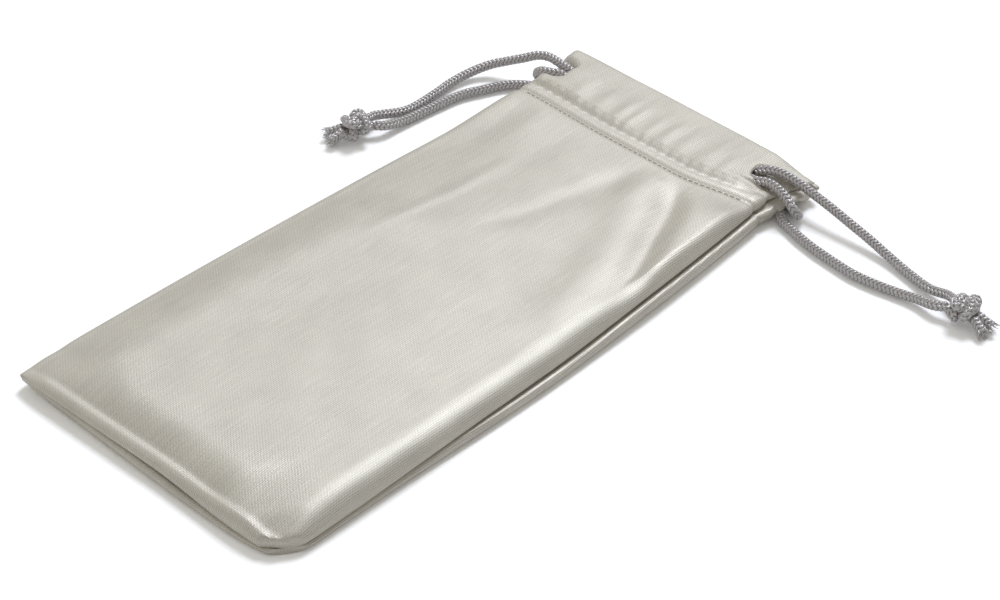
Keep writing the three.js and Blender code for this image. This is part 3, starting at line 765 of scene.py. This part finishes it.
def add_node(tree, kind, settings=None, **inputs):
    """A node with its settings. Each input is a value, or a node or an output socket to link from."""
    node = tree.nodes.new(kind)
    for key, value in (settings or {}).items():
        setattr(node, key, value)
    for key, value in inputs.items():
        socket = node.inputs[int(key[1:])] if key[1:].isdigit() else node.inputs[key.replace("_", " ")]
        if isinstance(value, bpy.types.Node):
            value = value.outputs[0]
        if isinstance(value, bpy.types.NodeSocket):
            tree.links.new(value, socket)
        else:
            socket.default_value = value
    return node


def knit_cloth(context):
    """Satin microfibre, warp knitted: fine ribs along the length and a soft silky gloss."""
    material, tree = new_material("satin_microfibre_knit")
    colour = (*context.scene.pouch_colours.cloth, 1)
    times, plus, sine = ({"operation": kind} for kind in ("MULTIPLY", "MULTIPLY_ADD", "SINE"))
    lay = add_node(tree, "ShaderNodeUVMap", {"uv_map": "lay"})
    apart = add_node(tree, "ShaderNodeSeparateXYZ", Vector=lay)
    # The real ribs are about 0.35 mm apart, and they are drawn wider so that the camera can see them
    straight = add_node(tree, "ShaderNodeMath", times, _0=apart.outputs["X"], _1=2 * math.pi * LAY / RIB)
    waver = add_node(tree, "ShaderNodeMapping", Vector=lay, Scale=(90, 24, 1))
    wander = add_node(tree, "ShaderNodeTexNoise", Vector=waver, Scale=1.0, Detail=2.0)
    across = add_node(tree, "ShaderNodeMath", plus, _0=wander, _1=4.0, _2=straight)
    rib = add_node(tree, "ShaderNodeMath", sine, _0=across)
    along = add_node(tree, "ShaderNodeMath", times, _0=apart.outputs["Y"], _1=2 * math.pi * LAY / COURSE)
    skew = add_node(tree, "ShaderNodeMath", plus, _0=across, _1=0.5, _2=along)
    course = add_node(tree, "ShaderNodeMath", sine, _0=skew)
    stitch = add_node(tree, "ShaderNodeMath", plus, _0=course, _1=0.4, _2=rib)
    # Slubs drawn out along the ribs and a fine grain roughen the knit, and faint clouds vary its colour
    drawn = add_node(tree, "ShaderNodeMapping", Vector=lay, Scale=(220, 9, 1))
    slub = add_node(tree, "ShaderNodeTexNoise", Vector=drawn, Scale=1.0, Detail=2.0)
    uneven = add_node(tree, "ShaderNodeMath", plus, _0=slub, _1=1.8, _2=stitch)
    grain = add_node(tree, "ShaderNodeTexNoise", Vector=lay, Scale=260.0, Detail=1.0)
    height = add_node(tree, "ShaderNodeMath", plus, _0=grain, _1=3.2, _2=uneven)
    ramp = add_node(
        tree, "ShaderNodeMapRange", Value=height, From_Min=0.2, From_Max=4.8, To_Min=0.6, To_Max=1.27,
    )
    cloudy = add_node(tree, "ShaderNodeTexNoise", Vector=lay, Scale=9.0, Detail=3.0)
    cloud = add_node(
        tree, "ShaderNodeMapRange", Value=cloudy, From_Min=0.3, From_Max=0.7, To_Min=0.95, To_Max=1.04,
    )
    shade = add_node(tree, "ShaderNodeMath", times, _0=ramp, _1=cloud)
    tint = add_node(tree, "ShaderNodeMix", TINT, Factor=1.0, _6=colour, _7=shade)
    bump = add_node(tree, "ShaderNodeBump", Height=height, Strength=0.5, Distance=0.00002)
    # The slack header shows its nap, so it shines less than the stretched body
    header = sizes_of(context).upper_row / LAY
    nap = add_node(
        tree, "ShaderNodeMapRange", Value=apart.outputs["Y"], From_Min=header - 0.02, From_Max=header,
        To_Min=0.48, To_Max=0.58,
    )
    shader = add_node(
        tree, "ShaderNodeBsdfPrincipled", Base_Color=tint.outputs[2], Normal=bump, Metallic=0.37,
        Roughness=nap,
    )
    add_node(tree, "ShaderNodeOutputMaterial", Surface=shader)
    return material


def mottled(tree, colour, scale, detail, low, high):
    """A colour varied by fine noise along the lay. Gives its socket and the noise."""
    lay = add_node(tree, "ShaderNodeUVMap", {"uv_map": "lay"})
    noise = add_node(tree, "ShaderNodeTexNoise", Vector=lay, Scale=scale, Detail=detail)
    shade = add_node(
        tree, "ShaderNodeMapRange", Value=noise, From_Min=0.3, From_Max=0.7, To_Min=low, To_Max=high,
    )
    tint = add_node(tree, "ShaderNodeMix", TINT, Factor=1.0, _6=(*colour, 1), _7=shade)
    return tint.outputs[2], noise


def braid_yarn(context):
    """Bright polyester filament yarn: each yarn shines along its crest and is dark where it dives under."""
    material, tree = new_material("polyester_braid_yarn")
    colour, fibres = mottled(tree, context.scene.pouch_colours.cord, 600.0, 2.0, 0.82, 1.12)
    bump = add_node(tree, "ShaderNodeBump", Height=fibres, Strength=0.3, Distance=0.0001)
    shader = add_node(
        tree, "ShaderNodeBsdfPrincipled", Base_Color=colour, Normal=bump, Metallic=0.5, Roughness=0.33,
        Specular_IOR_Level=0.6,
    )
    add_node(tree, "ShaderNodeOutputMaterial", Surface=shader)
    return material


def sewing_thread(context):
    """Spun polyester thread, softly shiny, with its ply just showing."""
    material, tree = new_material("polyester_sewing_thread")
    colour, _ = mottled(tree, context.scene.pouch_colours.thread, 300.0, 1.0, 0.88, 1.05)
    shader = add_node(tree, "ShaderNodeBsdfPrincipled", Base_Color=colour, Roughness=0.5)
    add_node(tree, "ShaderNodeOutputMaterial", Surface=shader)
    return material


class POUCH_OT_stage(bpy.types.Operator):
    """Set the camera, the pale floor and the soft studio light"""

    bl_idname = "pouch.stage"
    bl_label = "Stage"

    def execute(self, context):
        scene = context.scene
        scene.view_settings.view_transform = "Standard"
        azimuth, elevation = math.radians(CAMERA_AZIMUTH), math.radians(CAMERA_ELEVATION)
        level = math.cos(elevation)
        back = Vector((math.sin(azimuth) * level, -math.cos(azimuth) * level, math.sin(elevation)))
        lens = bpy.data.cameras.new("camera")
        lens.lens, lens.sensor_width, lens.sensor_fit = CAMERA_LENS, CAMERA_SENSOR, "HORIZONTAL"
        place = (Vector(CAMERA_TARGET) + back * CAMERA_DISTANCE) * MM
        scene.camera = self.put_aimed(scene, lens, place, -back)

        bpy.ops.object.select_all(action="DESELECT")
        bpy.ops.mesh.primitive_plane_add(size=FLOOR_SIDE, location=(0, 0, 0))
        floor = context.active_object
        floor.name = "floor"
        floor.data.materials.append(self.floor_material())

        lamp = bpy.data.lights.new("overhead_softbox", "AREA")
        lamp.shape = "RECTANGLE"
        lamp.size = SOFTBOX_SIDE
        lamp.size_y = SOFTBOX_SIDE
        lamp.energy = SOFTBOX_POWER
        lamp.color = SOFTBOX_COLOUR
        self.put_aimed(scene, lamp, Vector(SOFTBOX_PLACE), -Vector(SOFTBOX_PLACE))

        world = bpy.data.worlds.new("studio")
        world.use_nodes = True
        tree = world.node_tree
        # The studio is a little darker on the pouch's right, and its backdrop is white to the camera
        around = add_node(tree, "ShaderNodeTexCoord").outputs["Generated"]
        turn = {"operation": "DOT_PRODUCT"}
        facing = add_node(tree, "ShaderNodeVectorMath", turn, _0=around, _1=ROOM_DARK_WAY)
        dim = add_node(
            tree, "ShaderNodeMapRange", Value=facing.outputs["Value"], From_Min=-1, From_Max=1,
            To_Min=ROOM_BRIGHT, To_Max=ROOM_DARK,
        )
        seen = add_node(tree, "ShaderNodeLightPath").outputs["Is Camera Ray"]
        strength = add_node(tree, "ShaderNodeMapRange", Value=seen, To_Min=dim, To_Max=ROOM_SEEN)
        background = tree.nodes["Background"]
        background.inputs["Color"].default_value = ROOM_COLOUR
        tree.links.new(strength.outputs[0], background.inputs["Strength"])
        scene.world = world
        return {"FINISHED"}

    def put_aimed(self, scene, data, place, way):
        """Puts a camera or lamp in the scene, facing a way."""
        item = bpy.data.objects.new(data.name, data)
        item.location = place
        item.rotation_mode = "QUATERNION"
        item.rotation_quaternion = way.to_track_quat("-Z", "Y")
        scene.collection.objects.link(item)
        return item

    def floor_material(self):
        """Matt white card that the camera sees a little over white, with the pouch's shadow kept."""
        material, tree = new_material("matt_white_card")
        seen = add_node(tree, "ShaderNodeLightPath").outputs["Is Camera Ray"]
        base = add_node(tree, "ShaderNodeMapRange", Value=seen, To_Min=FLOOR_BASE, To_Max=FLOOR_SEEN)
        glow = add_node(tree, "ShaderNodeMath", {"operation": "MULTIPLY"}, _0=seen, _1=FLOOR_GLOW)
        shader = add_node(
            tree, "ShaderNodeBsdfPrincipled", Base_Color=base, Roughness=0.9, Specular_IOR_Level=0.1,
            Emission_Color=(1, 1, 1, 1), Emission_Strength=glow,
        )
        add_node(tree, "ShaderNodeOutputMaterial", Surface=shader)
        return material


def leg_route(size, cord, face):
    """Points of a free leg from inside its slit to its knot."""
    lane = size.slit_y + (LANE_OFFSET if face == "front" else -LANE_OFFSET)
    inside = abs(cord.slit) - CORD_ENTRY
    route = [(cord.sign * inside, lane, CORD_HEIGHT[face])]
    route += [(cord.sign * (EDGE_X + out), size.slit_y + along, z) for out, along, z in cord.routes[face]]
    return route + [knot_point(cord, cord.ends[face], KNOT_END + more) for more in (size.cord, 0)]


def knot_point(cord, direction, distance):
    """A point at a distance from a knot's middle."""
    return tuple(np.array(cord.knot) + unit(np.array(direction)) * distance)


def run_route(size, cord, face):
    """One run of a cord through the hem from the right slit to the left. Lane 1 is nearer the mouth."""
    round_height, flat_height = CORD_HEIGHT[face], FLAT_HEIGHT[face]
    right = size.slit_y + cord.lanes[face] * LANE_OFFSET
    left = size.slit_y - cord.lanes[face] * LANE_OFFSET
    middle = size.slit_y + cord.lanes[face] * FLAT_LANE_OFFSET
    crossed = cord.crossing[face]
    return [
        (27.28, right, round_height, size.cord * SLIT_SQUEEZE),
        (24.58, right, round_height, size.cord * TURN_SQUEEZE),
        (17.08, middle, flat_height, FLAT_CORD),
        (3, middle, flat_height, FLAT_CORD),
        (-10.08, middle, flat_height, FLAT_CORD),
        (-17.58, middle, crossed, FLAT_CORD),
        (-25.28, left, crossed, FLAT_CORD),
        (-28.28, left, crossed, FLAT_CORD),
        (-31.28, left, round_height, size.cord * SLIT_SQUEEZE),
    ]


def loop_route(size, cord):
    """A cord's hidden half: through the front hem, round the far edge, and back through the back hem."""
    front, back = run_route(size, cord, "front"), run_route(size, cord, "back")
    if cord.sign < 0:
        front, back = front[::-1], back[::-1]
    bight = [(-cord.sign * (EDGE_X + out), size.slit_y + along, z, size.cord) for out, along, z in cord.bight]
    return front + bight + back[::-1]


class POUCH_OT_cords(bpy.types.Operator):
    """Make the free legs of both cords and their loops through the hem"""

    bl_idname = "pouch.cords"
    bl_label = "Cords"

    def execute(self, context):
        size = sizes_of(context)
        yarn = braid_yarn(context)
        for cord in CORDS:
            for face in ("front", "back"):
                route = leg_route(size, cord, face)
                self.lay_cord(size, yarn, cord, f"{face}_leg", route, "knot", "loose", [f"{face}_leg"])
            nodes = ["front_run", "bight", "back_run"]
            self.lay_cord(size, yarn, cord, "loop", loop_route(size, cord), "object", "taut", nodes)
        return {"FINISHED"}

    def lay_cord(self, size, yarn, cord, name, route, far_end, lay, nodes):
        """Braids a length of cord, ties it to the cord's body and hides the CAD nodes that it stands for."""
        route = smooth_route(route, BRAID_STEP)
        braid = Mesh()
        braid.add_braid(route, size.cord)
        piece = braid.make(f"{cord.name}_{name}_braid", yarn)
        dress(piece, cord.name, "cord", *[f"{cord.name}_{node}" for node in nodes])


def knot_route(cord, face):
    """One of the two cord ends through the knot, an overhand knot tied with both together."""
    forward = unit(np.mean([unit(np.array(t)) for t in cord.tails.values()], axis=0) * (1, 1, 0))
    up = np.array((0, 0, 1.0))
    across = np.cross(up, forward)
    beside = KNOT_APART if np.dot(np.array(cord.ends[face]), across) > 0 else -KNOT_APART
    centre = np.array(cord.knot)
    route = [knot_point(cord, cord.ends[face], KNOT_END)]
    for turn in np.linspace(3 * math.pi - KNOT_OPENING, math.pi + KNOT_OPENING, KNOT_POINTS):
        along = KNOT_TURN * (math.sin(turn) + 2 * math.sin(2 * turn))
        rise = KNOT_TURN * (math.cos(turn) - 2 * math.cos(2 * turn))
        depth = -KNOT_DEPTH * math.sin(3 * turn)
        route.append(tuple(centre + forward * along + up * rise + across * (depth + beside)))
    route.append(knot_point(cord, cord.tails[face], KNOT_END))
    return route


class POUCH_OT_knots(bpy.types.Operator):
    """Tie the knot on each cord and fray its two tails"""

    bl_idname = "pouch.knots"
    bl_label = "Knots"

    def execute(self, context):
        size = sizes_of(context)
        yarn = bpy.data.materials["polyester_braid_yarn"]
        random = np.random.default_rng(FRAY_SEED)
        for cord in CORDS:
            knot = Mesh()
            for face in ("front", "back"):
                route = smooth_route(knot_route(cord, face), BRAID_STEP)
                knot.add_braid(route, size.cord * KNOT_CORD_SHARE)
                tail = Mesh()
                end = np.array(knot_point(cord, cord.tails[face], KNOT_END + TAIL_REACH))
                end[2] = TAIL_HEIGHT
                start = np.array(knot_point(cord, cord.tails[face], KNOT_END - TAIL_ROOT))
                route = smooth_route([start, (start + end) / 2, end], BRAID_STEP)
                tail.add_braid(route, size.cord, flare=TAIL_FLARE)
                self.fray(tail, route, size, random)
                name = f"{cord.name}_{face}_tail"
                dress(tail.make(f"{name}_braid", yarn), cord.name, "cord", name)
            dress(knot.make(f"{cord.name}_knot_braid", yarn), cord.name, "cord", f"{cord.name}_knot")
        return {"FINISHED"}

    def fray(self, tail, route, size, random):
        """Loose filaments at a cut end."""
        end, heading = route[-1, :3], unit(route[-1, :3] - route[-4, :3])
        for _ in range(FRAY_FIBRES):
            offset = random.normal(size=3)
            offset = offset - heading * np.dot(offset, heading)
            offset = unit(offset) * size.cord / 2 * random.uniform(0.2, 1) ** 0.5
            reach = FRAY_LENGTH * random.uniform(0.45, 1)
            bend = offset * random.uniform(0.05, 0.5) + random.normal(size=3) * 0.15
            tip = end + offset + heading * reach + bend
            root = end + offset * 0.9 - heading * 0.8
            middle = (root + tip) / 2 + random.normal(size=3) * 0.08
            fibre = smooth_route([root, middle, tip], 0.4)
            fibre[:, 2] = np.maximum(fibre[:, 2], FIBRE_LOWEST)
            sides, others = frames_along(fibre)
            thin = np.linspace(FIBRE_ROOT, FIBRE_TIP, len(fibre))
            tail.add_tube(fibre, sides, others, thin, thin, 4)


class POUCH_OT_panels(bpy.types.Operator):
    """Make the front and back panels of knitted cloth"""

    bl_idname = "pouch.panels"
    bl_label = "Panels"

    def execute(self, context):
        size = sizes_of(context)
        cloth = knit_cloth(context)
        for name, side in (("front_panel", 1), ("back_panel", -1)):
            piece = thicken(panel_sheet(size, side).make(f"{name}_cloth", cloth), size.cloth)
            dress(piece, "pouch", "cloth", name)
        return {"FINISHED"}


class POUCH_OT_stitches(bpy.types.Operator):
    """Sew the two hem rows on each panel and the seam round the pouch"""

    bl_idname = "pouch.stitches"
    bl_label = "Stitches"

    def execute(self, context):
        size = sizes_of(context)
        thread = sewing_thread(context)
        for side_name, side in (("front", 1), ("back", -1)):
            for row_name, y in (("upper", size.upper_row), ("lower", size.lower_row)):
                row = Mesh()
                self.sew_row(row, size, side, y, STITCH_RISE[row_name])
                name = f"{side_name}_hem_{row_name}"
                dress(row.make(f"{name}_stitches", thread), "pouch", "thread", f"{name}_thread")
        seam = Mesh()
        self.sew_seam(seam, size)
        dress(seam.make("seam_stitches", thread), "pouch", "thread", "seam_thread")
        return {"FINISHED"}

    def sew_row(self, row, size, side, y, rise):
        """Stitches of one hem row, each one dipping into the cloth at both ends."""
        outer = front_top if side > 0 else back_bottom
        low, high = face_edges(size, y, side)
        count = int((high - low - 1) / size.stitch)
        shares = np.linspace(0.06, 0.94, STITCH_POINTS)
        dip = STITCH_DIP * np.abs(np.linspace(-1, 1, STITCH_POINTS)) ** 4
        along = np.full(STITCH_POINTS, y)
        across = np.tile((0.0, 1.0, 0.0), (STITCH_POINTS, 1))
        upward = np.tile((0.0, 0.0, 1.0), (STITCH_POINTS, 1))
        for k in range(count):
            x = shares * size.stitch + (k - count / 2) * size.stitch + (low + high) / 2
            z = outer(size, x, along) + side * (size.thread * rise - dip)
            centres = settled(size, np.column_stack([x, along, z]), side)
            row.add_tube(centres, across, upward, size.thread / 2, size.thread / 2, THREAD_SIDES)

    def sew_seam(self, seam, size):
        """The seam's thread, deep in the groove down one side, along the bottom and up the other."""
        low, top = size.bottom_y + CURL_IN - 0.1, size.mouth_y - 4
        y = np.arange(low + 6, top, 1.0)
        left = side_edge(size, y, -1, 1) + CURL_IN - 0.1
        right = side_edge(size, y, 1, 1) - CURL_IN + 0.1
        across = np.arange(left[0] + 6, right[0] - 6, 1.0)
        route = np.vstack([
            np.column_stack([left, y])[::-1], np.column_stack([across, np.full(len(across), low)]),
            np.column_stack([right, y]),
        ])
        route = np.column_stack([route, seam_height(size, route[:, 0], route[:, 1])])
        route = settled(size, smooth_route(route, 0.75), 1)
        sides, others = frames_along(route)
        seam.add_tube(route, sides, others, size.thread / 2, size.thread / 2, THREAD_SIDES)


class POUCH_PT_sidebar(bpy.types.Panel):
    """Lists the steps that dress the pouch, with its sizes and colours"""

    bl_idname = "POUCH_PT_sidebar"
    bl_label = "Eyeglass pouch"
    bl_space_type = "VIEW_3D"
    bl_region_type = "UI"
    bl_category = "Pouch"

    def draw(self, context):
        for group in (context.scene.pouch_sizes, context.scene.pouch_colours):
            box = self.layout.box()
            for name in type(group).__annotations__:
                box.prop(group, name)
        for operator in OPERATORS:
            self.layout.operator(operator.bl_idname)


OPERATORS = (POUCH_OT_stage, POUCH_OT_cords, POUCH_OT_knots, POUCH_OT_panels, POUCH_OT_stitches)
CLASSES = (PouchSizes, PouchColours, *OPERATORS, POUCH_PT_sidebar)


def register():
    for cls in CLASSES:
        bpy.utils.register_class(cls)
    bpy.types.Scene.pouch_sizes = bpy.props.PointerProperty(type=PouchSizes)
    bpy.types.Scene.pouch_colours = bpy.props.PointerProperty(type=PouchColours)


def unregister():
    del bpy.types.Scene.pouch_colours
    del bpy.types.Scene.pouch_sizes
    for cls in reversed(CLASSES):
        bpy.utils.unregister_class(cls)


def main():
    register()
    bpy.ops.pouch.stage()
    bpy.ops.pouch.cords()
    bpy.ops.pouch.knots()
    bpy.ops.pouch.panels()
    bpy.ops.pouch.stitches()


if __name__ == "__main__":
    main()
